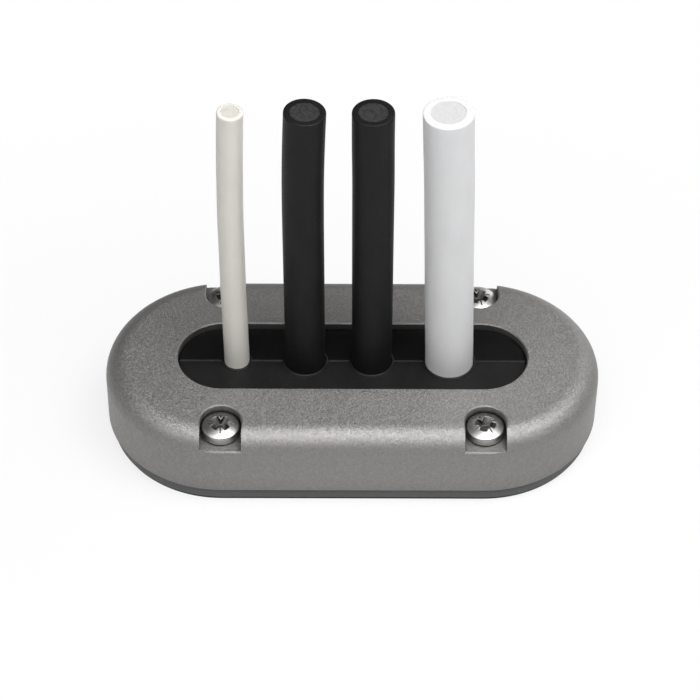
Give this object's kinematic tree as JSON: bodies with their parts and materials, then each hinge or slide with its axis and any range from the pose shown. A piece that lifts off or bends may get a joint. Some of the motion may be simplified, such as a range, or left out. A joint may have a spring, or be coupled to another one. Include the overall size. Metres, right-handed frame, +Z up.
{
  "type": "roof cable entry gland",
  "caption": "Low obround roof gland: a radiused metal cover clamps a split rubber seal on a base plate, so that cables of mixed sizes pass upright through a weatherproof opening.",
  "frame": {"origin": "middle of the gasket's underside, where the gland stands on the roof", "axes": "+X along the gland towards the thickest cable, -Y towards the picture's camera, +Z up out of the roof"},
  "size_m": [0.126, 0.06, 0.1032],
  "materials": {
    "cover_aluminium": "bead-blasted and anodised, grey",
    "base_plastic": "moulded, dark grey",
    "gasket_rubber": "matt black",
    "seal_rubber": "matt black",
    "screw_steel": "bright stainless",
    "ivory_jacket": "satin, ivory",
    "black_jacket": "satin, black",
    "white_jacket": "satin, white"
  },
  "bodies": {
    "root": {"cover": "cover_aluminium", "base_plate": "base_plastic", "deck_gasket": "gasket_rubber", "seal_front_half": "seal_rubber", "seal_rear_half": "seal_rubber", "screw_front_left": "screw_steel", "screw_front_right": "screw_steel", "screw_rear_left": "screw_steel", "screw_rear_right": "screw_steel", "cable_ivory": "ivory_jacket", "cable_black_left": "black_jacket", "cable_black_right": "black_jacket", "cable_white": "white_jacket"}
  },
  "joints": []
}
